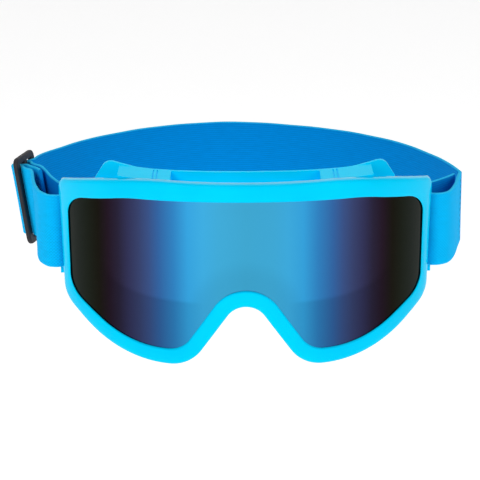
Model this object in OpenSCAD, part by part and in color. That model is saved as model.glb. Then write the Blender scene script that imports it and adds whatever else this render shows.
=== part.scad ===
// Ski goggles: a curved mirrored lens snapped into a glossy rim, a face frame with
// foam and fleece behind it, and an elastic head strap with a sliding adjuster.
// Everything is drawn in millimetres with the front of the rim at y = 0, +y towards
// the back of the head, +x to the wearer's left and +z up. at_face() then moves it
// so that the middle of the face seat is the origin.

/* [Overall] */
// Width across the front rim
rim_width = 179.8; // [143:0.2:216]
// Height from the lobes to the brow of the rim
rim_height = 87.8; // [72:0.2:108]
// Distance from the strap loops back to the far side of the strap
strap_reach = 163; // [130:1:200]

/* [Front] */
// Depth of the front rim from front to back
rim_depth = 6; // [5:0.1:7.5]
// Thickness of the lens
lens_thickness = 2.2; // [1.6:0.1:2.7]
// How far the lens sits behind the front of the rim
lens_recess = 1.8; // [1.5:0.1:2.2]
// How far the lens edge reaches into its groove
groove_depth = 2.2; // [1.6:0.1:2.8]

/* [Face frame] */
// Depth of the frame from the front of the rim to the foam
frame_depth = 30.5; // [25:0.5:36]
// Thickness of the frame's wall
wall = 2.2; // [1.6:0.1:2.8]
// Thickness of the flange that carries the foam
flange_thickness = 2.5; // [2:0.1:3.5]
// How far the frame's wall lies below the top of the rim
wall_inset = 5.5; // [5:0.1:6]

/* [Foam] */
// Thickness of the face foam at the brow
foam_thickness = 15; // [11:0.5:20]
// Thickness of the fleece on the foam
fleece_thickness = 1.8; // [1:0.1:2.5]
// Thickness of the foam behind the vents
vent_foam_thickness = 2.8; // [2:0.1:3.2]

/* [Strap] */
// Width of the elastic webbing
strap_width = 36.5; // [29:0.5:43]
// Thickness of the webbing
strap_thickness = 1.5; // [1.2:0.05:1.7]
// Width of one bar of the adjuster
bar_width = 5.1; // [4:0.1:6]
// Thickness of the adjuster
slider_thickness = 2.4; // [1.9:0.1:2.8]
// How far the adjuster and the strap beside it lean outwards at the top
slider_lean = 9; // [0:0.5:12]

/* [Part] */
// The part to show

/* [Hidden] */
$fn = 96;
kx = rim_width / 179.8;
kz = rim_height / 87.8;
ky = strap_reach / 163;
front_r = 100 * kx;
half = rim_width / 2 - 1.4;
far = 130;
seat = [0, 89 * kx + (frame_depth - 30.5) + (foam_thickness - 15), -17 * kz];
face_r = 105 * kx;
face_y = frame_depth + foam_thickness;
lug_y = sag(half) + 17.3;
strap_z = -11.55 * kz;
lug_gap_in = half - 2.1;
lug_in = half + 0.25 + (strap_thickness - 1.5) / 2;
lug_out = lug_in + 2.2;
slot_half = strap_width / 2 + 1.6;
cyan = [0.02, 0.78, 0.96];
satin_cyan = [0.02, 0.7, 0.92];
blue = [0.09, 0.62, 0.93];
black = [0.06, 0.06, 0.07];
foam_grey = [0.12, 0.12, 0.13];

// How far back the front curve lies at x
function sag(x) = front_r - sqrt(front_r * front_r - x * x);

function unit(v) = v / norm(v);
function turn(a) = a > 180 ? a - 360 : a < -180 ? a + 360 : a;

// Points on the arc that rounds corner p, between neighbours a and b, to radius r
function fillet(p, a, b, r) =
    let (u = unit(a - p), v = unit(b - p), h = acos(u * v) / 2)
    let (c = p + unit(u + v) * r / sin(h), s = p + u * r / tan(h) - c, e = p + v * r / tan(h) - c)
    let (a0 = atan2(s.y, s.x), d = turn(atan2(e.y, e.x) - a0), n = max(3, ceil(abs(d) / 7)))
    [for (k = [0:n]) c + r * [cos(a0 + d * k / n), sin(a0 + d * k / n)]];

// Closed outline from its right half, a list of [x, z, radius] from the brow to the nose
function whole(h) = concat(h, [for (i = [len(h) - 2:-1:1]) [-h[i].x, h[i].y, h[i].z]]);
function rounded(vs) =
    let (n = len(vs), p = [for (v = vs) [v.x * kx, v.y * kz]])
    [for (i = [0:n - 1]) each fillet(p[i], p[(i + n - 1) % n], p[(i + 1) % n],
        vs[i].z * min(kx, kz))];

// Closed outline moved inwards by d, each point along its own normal
function inset(o, d) =
    let (n = len(o))
    [for (i = [0:n - 1])
        let (t = unit(unit(o[(i + 1) % n] - o[i]) + unit(o[i] - o[(i + n - 1) % n])))
        o[i] + d * [t.y, -t.x]];

// The frame's wall is drawn inside a second outline, softer at the temples
rim_half_outline = [[0, 25.6, 1600], [61.1, 25.3, 155], [90, 15.5, 4], [88, -40.6, 11.3],
    [58.3, -62.7, 65], [26.4, -62, 18.8], [0, -25.1, 10.6]];
body_half_outline = [[0, 25.6, 1600], [55, 25.4, 60], [90.8, 13, 17], [91, -42, 15],
    [58.3, -62.7, 65], [26.4, -62, 18.8], [0, -25.1, 10.6]];
lens_half_outline = [[0, 18.4, 1030], [55.7, 15.8, 70], [85.3, 9.3, 10.2], [84.4, -35.6, 13.5],
    [54.4, -55.3, 55], [29.9, -54.5, 12.8], [0, -11.4, 18]];
eye_half_outline = [[0, 10, 300], [70.5, 8.5, 14], [70, -31, 19], [46, -41.5, 16],
    [24, -40.5, 10], [0, -9, 15]];
brow_half_outline = [[0, 25.7, 800], [50, 24.2, 40], [66.5, 26, 6], [73, 15, 4],
    [70, 0, 2], [0, 2, 50]];

rim_o = rounded(whole(rim_half_outline));
body_o = rounded(whole(body_half_outline));
lens_o = rounded(whole(lens_half_outline));
eye_o = rounded(whole(eye_half_outline));
brow_o = rounded(whole(brow_half_outline));

// Smooth open curve through knots, n steps between each pair
function knot_mix(a, b, c, d, t) =
    0.5 * (2 * b + (c - a) * t + (2 * a - 5 * b + 4 * c - d) * t * t
        + (3 * b - a - 3 * c + d) * t * t * t);
function curve(k, n) = concat(
    [for (i = [0:len(k) - 2]) for (j = [0:n - 1])
        knot_mix(k[max(i - 1, 0)], k[i], k[i + 1], k[min(i + 2, len(k) - 1)], j / n)],
    [k[len(k) - 1]]);

module at_face() {
    translate(-seat) children();
}

// What lies between the front curve moved back by d0 and moved back by d1
module curved_slab(d0, d1) {
    difference() {
        translate([0, front_r + d0, -far]) cylinder(r = front_r, h = 2 * far);
        translate([0, front_r + d1, -far - 1]) cylinder(r = front_r, h = 2 * far + 2);
    }
}

// An outline in x and z, drawn out along y
module along_y(o, y1 = 130) {
    translate([0, y1, 0]) rotate([90, 0, 0]) linear_extrude(height = y1 + 5) polygon(o);
}

module ring(outer, inner) {
    difference() {
        along_y(outer);
        translate([0, 1, 0]) along_y(inner, 135);
    }
}

// What lies behind the flange and in front of the face curve moved back by d
module up_to_face(d) {
    difference() {
        translate([0, front_r + frame_depth, -far]) cylinder(r = front_r, h = 2 * far);
        translate([0, face_y + d + face_r, -far - 1]) cylinder(r = face_r, h = 2 * far + 2);
    }
}

// The rim stops short at the sides, so that the strap can tilt behind it
module front_frame() {
    color(cyan) at_face() difference() {
        intersection() {
            ring(rim_o, lens_o);
            curved_slab(0, rim_depth);
            translate([-far, -5, -far]) cube([2 * far, sag(half) + rim_depth + 5, 2 * far]);
        }
        intersection() {
            along_y(inset(lens_o, -groove_depth - 0.1));
            curved_slab(lens_recess - 0.05, lens_recess + lens_thickness + 0.05);
        }
    }
}

module lens() {
    color([0.16, 0.3, 0.5]) at_face() intersection() {
        along_y(inset(lens_o, -groove_depth));
        curved_slab(lens_recess, lens_recess + lens_thickness);
    }
}

// A raised vent housing between the rim and the flange, at side s
module housing(s) {
    intersection() {
        curved_slab(rim_depth, frame_depth - 1);
        difference() {
            translate([s > 0 ? 35 * kx : -60 * kx, 0, 15 * kz]) cube([25 * kx, 90, 9.6 * kz]);
            for (x = [41.4, 43.2])
                translate([s * x * kx - 0.35, 0, 23.9 * kz]) cube([0.7, 90, 5]);
        }
    }
}

module vent(x0, x1, z0, z1) {
    intersection() {
        curved_slab(rim_depth + 5, frame_depth - flange_thickness - 4);
        translate([x0 * kx, 0, z0 * kz]) cube([(x1 - x0) * kx, 90, (z1 - z0) * kz]);
    }
}

module face_frame() {
    color(satin_cyan) at_face() difference() {
        union() {
            intersection() {
                along_y(inset(body_o, wall_inset));
                curved_slab(rim_depth, frame_depth);
            }
            intersection() {
                along_y(inset(body_o, wall_inset - 1));
                curved_slab(frame_depth - flange_thickness, frame_depth);
            }
            intersection() {
                along_y(brow_o);
                curved_slab(frame_depth - flange_thickness, frame_depth);
            }
            housing(-1);
            housing(1);
        }
        along_y(inset(body_o, wall_inset + wall));
        for (x = [-32, -10, 12]) vent(x, x + 20, 10, 40);
        for (x = [-70.5, 61.5]) vent(x, x + 9, 10, 40);
        for (x = [-59, -44, 30, 45]) vent(x, x + 13, -70, -38);
    }
}

// A plate beside the frame that the strap passes behind, held by an ear at each end
module lug(s) {
    ear_top = 1.8;
    ear_low = 2.8;
    z0 = strap_z - slot_half - ear_low;
    z1 = strap_z + slot_half + ear_top;
    color(satin_cyan) at_face() difference() {
        translate([s > 0 ? half - 14 : -lug_out, lug_y - 3.4, z0])
            cube([lug_out - half + 14, 7.8, z1 - z0]);
        translate([s > 0 ? 0 : -lug_in, lug_y - 10, strap_z - slot_half])
            cube([lug_in, 20, 2 * slot_half]);
        along_y(inset(body_o, wall_inset));
        intersection() {
            along_y(inset(body_o, wall_inset - 1));
            curved_slab(frame_depth - flange_thickness, frame_depth);
        }
    }
}

module left_lug() {
    lug(1);
}

module right_lug() {
    lug(-1);
}

// A strip of open foam stuck inside the frame's wall, between x0 and x1 and z0 and z1
module vent_strip(x0, x1, z0, z1) {
    color(foam_grey) at_face() intersection() {
        ring(inset(body_o, wall_inset + wall), inset(body_o, wall_inset + wall + vent_foam_thickness));
        curved_slab(rim_depth + 3, frame_depth - 3);
        translate([x0 * kx, 0, z0 * kz]) cube([(x1 - x0) * kx, 90, (z1 - z0) * kz]);
    }
}

module top_vent_foam() {
    vent_strip(-72, 72, 8, 30);
}

module lower_vent_foam_left() {
    vent_strip(27, 61, -70, -30);
}

module lower_vent_foam_right() {
    vent_strip(-61, -27, -70, -30);
}

module face_foam() {
    color(foam_grey) at_face() intersection() {
        ring(inset(body_o, wall_inset + 1), eye_o);
        up_to_face(0);
    }
}

module face_fleece() {
    color(black) at_face() intersection() {
        ring(inset(body_o, wall_inset + 1.5), inset(eye_o, -0.5));
        difference() {
            translate([0, face_y + face_r, -far]) cylinder(r = face_r, h = 2 * far);
            translate([0, face_y + fleece_thickness + face_r, -far - 1])
                cylinder(r = face_r, h = 2 * far + 2);
        }
    }
}

// Strap. Knots are [x, y, lean, z]; the lean is in degrees, the way the adjuster leans.
function strap_at(x, y, lean = 0) = [x * kx, lug_y + (y - 70.75) * ky, lean, 0];
slider_mid = strap_at(-111.3, 132.6);
slider_turn = 77.1;
back = [cos(slider_turn), sin(slider_turn)];
out = [-sin(slider_turn), cos(slider_turn)];
// A knot a mm behind the middle of the adjuster and v mm outside it
function by_slider(a, v, lean = slider_lean) =
    [slider_mid.x + a * back.x + v * out.x * cos(slider_lean),
        slider_mid.y + a * back.y + v * out.y * cos(slider_lean), lean, -v * sin(slider_lean)];
// A knot beside the lug on side s, set from the frame and not from the strap's length
function by_lug(s, x, y, lean = 0) = [s * (half + x), lug_y + y, lean, 0];

// Webbing through a list of stations, with its outer face on the right of the way it runs
module ribbon(st, width = strap_width, t = strap_thickness) {
    n = len(st);
    pts = [for (i = [0:n - 1])
        let (q = st[min(i + 1, n - 1)] - st[max(i - 1, 0)], l = st[i][2])
        let (c = [st[i].x, st[i].y, strap_z + st[i][3]])
        let (w = [out.x * sin(l), out.y * sin(l), cos(l)] * width / 2)
        let (v = unit(cross([q.x, q.y, q[3]], w)) * t / 2)
        each [c - v - w, c + v - w, c + v + w, c - v + w]];
    sides = [for (i = [0:n - 2]) for (j = [0:3])
        let (a = 4 * i + j, b = 4 * i + (j + 1) % 4)
        each [[a, b, a + 4], [b, b + 4, a + 4]]];
    polyhedron(points = pts, faces = concat([[3, 2, 1, 0]], sides,
        [[4 * n - 4, 4 * n - 3, 4 * n - 2, 4 * n - 1]]));
}

band_knots = [strap_at(108.9, 107.6), strap_at(104, 129.5), strap_at(94.6, 154), strap_at(80, 180.2),
    strap_at(57.5, 204), strap_at(27, 222.5), strap_at(-4, 231.4), strap_at(-33, 227.2),
    strap_at(-60, 212.3), strap_at(-83, 190, 2.5), strap_at(-95, 170, 6)];
loop_knots = [strap_at(108.4, 107), strap_at(106.4, 95.5), strap_at(104.1, 82.5),
    by_lug(1, 12.9, 1.2), by_lug(1, 10, -5.4), by_lug(1, 6, -8.5), by_lug(1, 2.7, -8.7),
    by_lug(1, 0.4, -7.4), by_lug(1, -1, -5), by_lug(1, -1, 5.3), by_lug(1, 1.2, 11.6),
    strap_at(95.6, 89.4), strap_at(101.4, 97.2), strap_at(105.2, 103.2)];
span_knots = [strap_at(-95.25, 169.55, 6), strap_at(-101.8, 158.5, 8), by_slider(16.4, -2.3)];
turn_knots = [by_lug(-1, 8.15, -7.1), by_lug(-1, 5.4, -8.6), by_lug(-1, 2.6, -8.7),
    by_lug(-1, 0.4, -7.4), by_lug(-1, -1, -5), by_lug(-1, -1, 5.3),
    by_lug(-1, 0.5, 10.5)];
front_knots = [by_slider(-10.32, -2.92), by_slider(-12.3, -4.15), by_slider(-16, -6.6),
    by_slider(-23, -11.2, 7.5), strap_at(-104.7, 94, 3.5), strap_at(-103.1, 81.5, 1),
    by_lug(-1, 12.3, 0.5), by_lug(-1, 8.45, -6.75)];
back_knots = [by_lug(-1, 0.63, 10.9), strap_at(-92.7, 92, 3), strap_at(-96.1, 102.5, 5.5),
    by_slider(-15.7, -14.6, 8), by_slider(-7.85, -8.85)];
over_knots = [[16, -2.3], [10, -2.3], [7.6, -1.5], [6, 1.6], [4.4, 4.6], [0, 6],
    [-4.4, 4.6], [-6, 1.6], [-7.6, -1.5], [-10, -2.75]];
end_knots = [[-7.5, -8.6], [-3, -5.4], [1, -3.6], [3.5, -1.5], [3.4, 0.6], [2.6, 2.1], [0, 2.3],
    [-2.6, 2.1], [-3.4, 0.6], [-3.75, -1], [-5.2, -3.4], [-9.5, -6.4], [-16.3, -11.8],
    [-24.4, -17]];

module slider_frame() {
    translate([slider_mid.x, slider_mid.y, strap_z])
        rotate([0, 0, slider_turn]) rotate([-slider_lean, 0, 0]) children();
}

// A band of webbing along a flat curve of [behind, outside] knots, upright in slider_frame()
function banded(c, t) =
    let (n = len(c), m = [for (i = [0:n - 1])
        let (q = unit(c[min(i + 1, n - 1)] - c[max(i - 1, 0)])) [q.y, -q.x] * t / 2])
    concat([for (i = [0:n - 1]) c[i] + m[i]], [for (i = [n - 1:-1:0]) c[i] - m[i]]);

module flat_webbing(knots) {
    translate([0, 0, -strap_width / 2]) linear_extrude(height = strap_width)
        polygon(banded(curve(knots, 4), strap_thickness));
}

module strap_band() {
    color(blue) at_face() ribbon(curve(band_knots, 5));
}

module left_loop() {
    color(blue) at_face() ribbon(curve(loop_knots, 4));
}

module adjusting_span() {
    color(blue) at_face() ribbon(curve(span_knots, 5));
}

module right_front_layer() {
    color(blue) at_face() ribbon(curve(front_knots, 4));
}

module right_lug_turn() {
    color(blue) at_face() ribbon(curve(turn_knots, 4));
}

module right_back_layer() {
    color(blue) at_face() ribbon(curve(back_knots, 4));
}

module strap_over_bar() {
    color(blue) at_face() slider_frame() flat_webbing(over_knots);
}

module sewn_end() {
    color(blue) at_face() slider_frame() flat_webbing(end_knots);
}

// Upright row of stitches, standing on the outer face of the webbing
module stitch_row(count) {
    pitch = (strap_width - 4) / count;
    for (i = [0:count - 1])
        translate([-0.3, 0, -strap_width / 2 + 2 + i * pitch]) cube([0.6, 0.4, pitch * 0.7]);
}

module left_loop_stitching() {
    corner = strap_at(108.4, 107);
    ahead = strap_at(106.4, 95.5);
    t = unit([ahead.x - corner.x, ahead.y - corner.y]);
    color(satin_cyan) at_face()
        for (d = [2, 5])
            translate([corner.x + t.x * d, corner.y + t.y * d, strap_z])
                rotate([0, 0, atan2(t.y, t.x)])
                    translate([0, strap_thickness / 2 - 0.05, 0]) stitch_row(11);
}

module sewn_end_stitching() {
    t = unit([24.4 - 16.3, 17 - 11.8]);
    color(satin_cyan) at_face() slider_frame()
        for (d = [4, 7])
            translate([-24.4 + t.x * d, -17 + t.y * d, 0]) rotate([0, 0, atan2(t.y, t.x)])
                translate([0, strap_thickness / 2, 0]) stitch_row(11);
}

// Flat buckle with three upright bars and two slots
module slider() {
    w = strap_width + 8.8;
    edge = 13.9;
    r = 4;
    color(black) at_face() slider_frame() rotate([90, 0, 0])
        translate([0, 0, -slider_thickness / 2]) linear_extrude(height = slider_thickness)
            difference() {
                polygon([for (c = [[1, 1, 0], [-1, 1, 90], [-1, -1, 180], [1, -1, 270]])
                    for (a = [0:15:90])
                        [c.x * (edge - r) + r * cos(c.z + a), c.y * (w / 2 - r) + r * sin(c.z + a)]]);
                for (s = [-1, 1])
                    translate([s > 0 ? 2.2 : -(edge - bar_width), -strap_width / 2 - 0.8])
                        square([edge - bar_width - 2.2, strap_width + 1.6]);
            }
}

front_frame();
lens();
face_frame();
left_lug();
right_lug();
top_vent_foam();
lower_vent_foam_left();
lower_vent_foam_right();
face_foam();
face_fleece();
strap_band();
left_loop();
left_loop_stitching();
adjusting_span();
right_front_layer();
right_lug_turn();
right_back_layer();
slider();
strap_over_bar();
sewn_end();
sewn_end_stitching();
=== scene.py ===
"""Ski goggles on a plain floor: a glossy rim with a mirrored lens, a foam-backed face frame and an elastic strap.

Lengths in the drawing functions are millimetres, with the front of the rim at y = 0. to_row() carries them to the
row frame in metres, whose origin is the middle of the face seat.
"""

import functools
import math

import bpy
import numpy as np
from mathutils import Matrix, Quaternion, Vector


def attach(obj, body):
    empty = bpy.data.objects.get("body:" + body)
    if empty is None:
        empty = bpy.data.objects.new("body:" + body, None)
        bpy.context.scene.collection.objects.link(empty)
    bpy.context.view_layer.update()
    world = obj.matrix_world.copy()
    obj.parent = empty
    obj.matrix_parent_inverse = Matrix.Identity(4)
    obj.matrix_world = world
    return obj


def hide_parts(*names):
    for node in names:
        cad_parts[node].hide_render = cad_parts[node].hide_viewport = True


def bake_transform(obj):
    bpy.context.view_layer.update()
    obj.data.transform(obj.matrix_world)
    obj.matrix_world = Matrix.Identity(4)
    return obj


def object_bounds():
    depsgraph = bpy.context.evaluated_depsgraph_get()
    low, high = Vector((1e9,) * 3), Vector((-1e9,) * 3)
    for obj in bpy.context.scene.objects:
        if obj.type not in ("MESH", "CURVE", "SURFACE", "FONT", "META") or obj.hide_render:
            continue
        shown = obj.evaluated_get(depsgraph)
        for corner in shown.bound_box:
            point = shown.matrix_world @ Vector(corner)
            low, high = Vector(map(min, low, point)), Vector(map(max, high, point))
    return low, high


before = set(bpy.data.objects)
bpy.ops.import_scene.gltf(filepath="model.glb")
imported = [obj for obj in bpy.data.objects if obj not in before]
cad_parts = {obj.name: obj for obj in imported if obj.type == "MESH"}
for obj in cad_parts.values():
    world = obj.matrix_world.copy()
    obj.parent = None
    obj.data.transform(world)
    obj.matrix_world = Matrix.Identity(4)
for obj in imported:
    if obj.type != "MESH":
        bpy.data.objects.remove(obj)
CAD_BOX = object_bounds()

bl_info = {
    "name": "Ski goggles",
    "version": (1, 0, 0),
    "blender": (4, 5, 0),
    "location": "View3D > Sidebar > Goggles",
    "description": "Builds ski goggles on their moving frame",
    "category": "Object",
}

# Sizes shared by several pieces, in mm and degrees
SEAT = np.array([0.0, 89.0, -17.0])
FRONT_RADIUS = 100.0
FACE_RADIUS = 105.0
FRAME_DEPTH = 30.5
FOAM_DEPTH = 15.0
RIM_HALF = 88.5
RIM_DEPTH = 6
RIM_FACE = 0.2  # how far the front edges lie behind the crown between them
LENS_RECESS = 1.8
LENS_THICKNESS = 2.2
LENS_OVERLAP = 1.1  # how far the lens reaches under the rim
WALL_INSET = 5.5
WALL = 2.2
VENT_GAP = 0.05  # between the wall and the vent foam
VENT_FOAM = 2.75
LUG_Y = FRONT_RADIUS - math.sqrt(FRONT_RADIUS**2 - RIM_HALF**2) + 17.3
LUG_Y_DRAWN = 70.75  # where the plates' middle lay in the drawing that gives the strap's knots
STRAP_Z = -11.55
STRAP_WIDTH = 36.5
STRAP_THICKNESS = 1.5
SECTION_ROUND = 74.7  # the way round the webbing's section
OTHER_FACE = 37.36  # the way from one face of it to the other
SLIDER_TURN = 77.1  # the way the strap runs through the adjuster, seen from above
SLIDER_LEAN = 9.0  # how far its top leans outwards
STITCHES = 11  # in one row
STITCHED_WIDTH = 32.5  # the length of a row

# Right halves of the outlines, as corners (x, z, radius) from the brow to the nose
RIM = [(0, 25.6, 1600), (61.1, 25.3, 155), (90, 15.5, 4), (88, -40.6, 11.3), (58.3, -62.7, 65), (26.4, -62, 18.8),
       (0, -25.1, 10.6)]
BODY = [(0, 25.6, 1600), (55, 25.4, 60), (90.8, 13, 17), (91, -42, 15), (58.3, -62.7, 65), (26.4, -62, 18.8),
        (0, -25.1, 10.6)]
LENS = [(0, 18.4, 1030), (55.7, 15.8, 70), (85.3, 9.3, 10.2), (84.4, -35.6, 13.5), (54.4, -55.3, 55),
        (29.9, -54.5, 12.8), (0, -11.4, 18)]
EYES = [(0, 10, 300), (70.5, 8.5, 14), (70, -31, 19), (46, -41.5, 16), (24, -40.5, 10), (0, -9, 15)]

# Places (x, z) on those outlines that face one another
RIM_MARKS = [(0, 26), (88, 14.5), (86.5, -39), (25.5, -58), (0, -32)]
BODY_MARKS = [(0, 26), (84, 12.5), (87, -39), (25.5, -58), (0, -32)]
LENS_MARKS = [(0, 18), (82.5, 7.5), (82, -34), (30, -51), (0, -25)]
EYE_MARKS = [(0, 10), (67, 6), (66, -30), (26, -38), (0, -14)]


# ---------------------------------------------------------------- shapes


def to_row(points):
    """Millimetres in the drawing frame to metres in the row frame: subtract the seat and divide by 1000."""
    return (np.asarray(points, float) - SEAT) / 1000.0


def sag(x, radius=FRONT_RADIUS):
    """Depth of a circular curve at x: radius less the root of radius squared less x squared."""
    return radius - np.sqrt(np.maximum(radius**2 - np.square(x), 0.0))


def fillet(p, a, b, r):
    """Arc of radius r that rounds corner p between neighbours a and b: its centre lies on the corner's bisector."""
    p, a, b = (np.asarray(q[:2], float) for q in (p, a, b))
    u, v = (a - p) / np.linalg.norm(a - p), (b - p) / np.linalg.norm(b - p)
    h = math.acos(np.clip(u @ v, -1, 1)) / 2
    c = p + (u + v) / np.linalg.norm(u + v) * r / math.sin(h)
    s, e = p + u * r / math.tan(h) - c, p + v * r / math.tan(h) - c
    a0 = math.atan2(s[1], s[0])
    d = (math.atan2(e[1], e[0]) - a0 + math.pi) % (2 * math.pi) - math.pi
    t = a0 + d * np.linspace(0, 1, 40)
    return c + r * np.column_stack([np.cos(t), np.sin(t)])


def outline(half):
    """Closed outline of a right half given as corners (x, z, radius), mirrored in x and rounded at every corner."""
    vs = list(half) + [(-x, z, r) for x, z, r in half[-2:0:-1]]
    n = len(vs)
    pts = np.vstack([fillet(vs[i], vs[i - 1], vs[(i + 1) % n], vs[i][2]) for i in range(n)])
    return np.roll(pts, -20, axis=0)


def lengths(pts):
    """Length along a closed outline at each point, with the whole length last."""
    step = np.linalg.norm(np.roll(pts, -1, axis=0) - pts, axis=1)
    return np.concatenate([[0.0], np.cumsum(step)])


def at_lengths(pts, where):
    """Points of a closed outline at given lengths along it."""
    run, loop = lengths(pts), np.vstack([pts, pts[:1]])
    where = np.mod(where, run[-1])
    return np.column_stack([np.interp(where, run, loop[:, k]) for k in (0, 1)])


def inset(pts, d):
    """Closed outline moved inwards by d: each point plus d times the normal of the chord between its neighbours."""
    t = np.roll(pts, -1, axis=0) - np.roll(pts, 1, axis=0)
    t /= np.linalg.norm(t, axis=1, keepdims=True)
    return pts + d * np.column_stack([t[:, 1], -t[:, 0]])


def mark_lengths(pts, marks):
    """Lengths along an outline of the points nearest to the marks, down the right side and up the left."""
    both = list(marks) + [(-x, z) for x, z in marks[-2:0:-1]]
    run = lengths(pts)[:-1]
    return np.array([0.0] + [run[np.argmin(np.hypot(*(pts - m).T))] for m in both[1:]] + [lengths(pts)[-1]])


def facing_outlines(outer, outer_marks, inner, inner_marks, n):
    """n points on each of two outlines that face one another. Between matching marks both run through equal shares
    of their lengths, and the shift this makes along the inner one is smoothed with a bell-shaped average."""
    even = at_lengths(outer, np.linspace(0, lengths(outer)[-1], 2048, endpoint=False))
    a, b = mark_lengths(even, outer_marks), mark_lengths(inner, inner_marks)
    where = np.linspace(0, lengths(even)[-1], n, endpoint=False)
    facing = np.interp(where, a, b)
    drift = facing - where * b[-1] / a[-1]
    kernel = np.hanning(41)
    kernel /= kernel.sum()
    drift = np.convolve(np.concatenate([drift[-20:], drift, drift[:20]]), kernel, mode="valid")
    return at_lengths(even, where), at_lengths(inner, drift + where * b[-1] / a[-1])


def catmull(knots, n):
    """Smooth open curve through the knots, n steps from each to the next: the Catmull-Rom cubic of four of them."""
    k = np.asarray(knots, float)
    k = np.vstack([k[:1], k, k[-1:]])
    t = np.linspace(0, 1, n, endpoint=False)[:, None, None]
    a, b, c, d = k[:-3], k[1:-2], k[2:-1], k[3:]
    q = 0.5 * (2 * b + (c - a) * t + (2 * a - 5 * b + 4 * c - d) * t**2 + (3 * b - a - 3 * c + d) * t**3)
    return np.vstack([q.transpose(1, 0, 2).reshape(-1, k.shape[1]), k[-1:]])


def grid_mesh(name, points, close_u=False, close_v=False, caps=False, uv=None):
    """A mesh from a grid of points indexed [u, v, xyz] in the row frame. Each cell is a quad; u and v may close on
    themselves, and caps closes both ends of a tube with one face each. uv is a grid one larger in each closed way."""
    nu, nv = points.shape[:2]
    cells_u, cells_v = (nu if close_u else nu - 1), (nv if close_v else nv - 1)
    i, j = (k.ravel() for k in np.meshgrid(np.arange(cells_u), np.arange(cells_v), indexing="ij"))
    i1, j1 = (i + 1) % nu, (j + 1) % nv
    quads = np.column_stack([i * nv + j, i1 * nv + j, i1 * nv + j1, i * nv + j1])
    corner = np.stack([np.column_stack([i, j]), np.column_stack([i + 1, j]), np.column_stack([i + 1, j + 1]),
                       np.column_stack([i, j + 1])], axis=1)
    faces = quads.tolist()
    if caps:
        first, last = np.arange(nv), (nu - 1) * nv + np.arange(nv)
        faces += [first.tolist(), last[::-1].tolist()]
    mesh = bpy.data.meshes.new(name)
    mesh.from_pydata(points.reshape(-1, 3).tolist(), [], faces)
    if uv is not None:
        layer = mesh.uv_layers.new(name="UVMap")
        values = uv[corner[..., 0], corner[..., 1]].reshape(-1, 2)
        values = np.vstack([values, np.zeros((len(layer.data) - len(values), 2))])
        layer.data.foreach_set("uv", values.ravel().astype(np.float32))
    mesh.shade_smooth()
    mesh.validate()
    piece = bpy.data.objects.new(name, mesh)
    bpy.context.collection.objects.link(piece)
    return piece


def outward(piece):
    """Turns the faces of a closed piece outwards: its volume is the sum over its triangles of a . (b x c) / 6, and
    where that is negative every face is turned over."""
    mesh = piece.data
    co = np.empty(len(mesh.vertices) * 3)
    mesh.vertices.foreach_get("co", co)
    co = co.reshape(-1, 3)
    mesh.calc_loop_triangles()
    tri = np.empty(len(mesh.loop_triangles) * 3, int)
    mesh.loop_triangles.foreach_get("vertices", tri)
    a, b, c = (co[tri.reshape(-1, 3)[:, k]] for k in range(3))
    if np.einsum("ij,ij->i", a, np.cross(b, c)).sum() < 0:
        mesh.flip_normals()
    return piece


def paint(piece, material):
    """Gives a piece or a CAD node its one material."""
    piece.data.materials.clear()
    piece.data.materials.append(material)
    return piece


def dress(piece, material, body, *nodes, slot):
    """Gives a finished piece its material and the body it rides on, and hides the CAD nodes it stands for; slot is
    not used. body is None for webbing that runs from one body to another, and leaves it unattached."""
    paint(piece, material)
    if body:
        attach(piece, body)
    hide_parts(*nodes)
    return piece


def soften_edges(piece, width, segments):
    """Rounds the edges of a CAD node by width mm with modifiers: weld it, dissolve its flat triangles, bevel every
    edge that bends more than 40 degrees, and shade by the larger faces."""
    weld = piece.modifiers.new("weld", "WELD")
    weld.merge_threshold = 2e-6
    flat = piece.modifiers.new("flat", "DECIMATE")
    flat.decimate_type = "DISSOLVE"
    flat.angle_limit = math.radians(0.6)
    edge = piece.modifiers.new("edge", "BEVEL")
    edge.width = width / 1000
    edge.segments = segments
    edge.limit_method = "ANGLE"
    edge.angle_limit = math.radians(40)
    piece.modifiers.new("shade", "WEIGHTED_NORMAL")


# ---------------------------------------------------------------- materials


class Value:
    """A number that varies over a surface: arithmetic on it adds Math nodes to its finish."""

    def __init__(self, finish, socket):
        self.finish, self.socket = finish, socket

    def _with(self, operation, *others):
        return self.finish.math(operation, *others)

    def __add__(self, other):
        return self._with("ADD", self, other)

    def __radd__(self, other):
        return self._with("ADD", other, self)

    def __sub__(self, other):
        return self._with("SUBTRACT", self, other)

    def __rsub__(self, other):
        return self._with("SUBTRACT", other, self)

    def __mul__(self, other):
        return self._with("MULTIPLY", self, other)

    def __rmul__(self, other):
        return self._with("MULTIPLY", other, self)

    def __truediv__(self, other):
        return self._with("DIVIDE", self, other)

    def __pow__(self, other):
        return self._with("POWER", self, other)

    def __abs__(self):
        return self._with("ABSOLUTE", self)

    def sin(self):
        return self._with("SINE", self)

    def fraction(self):
        return self._with("FRACT", self)

    def floor(self):
        return self._with("FLOOR", self)

    def between(self, low, high):
        """0 below low and 1 above high, eased in between."""
        n = self.finish.node("ShaderNodeMapRange", {"interpolation_type": "SMOOTHSTEP"},
                             {"Value": self, "From Min": low, "From Max": high})
        return Value(self.finish, n.outputs["Result"])


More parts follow.
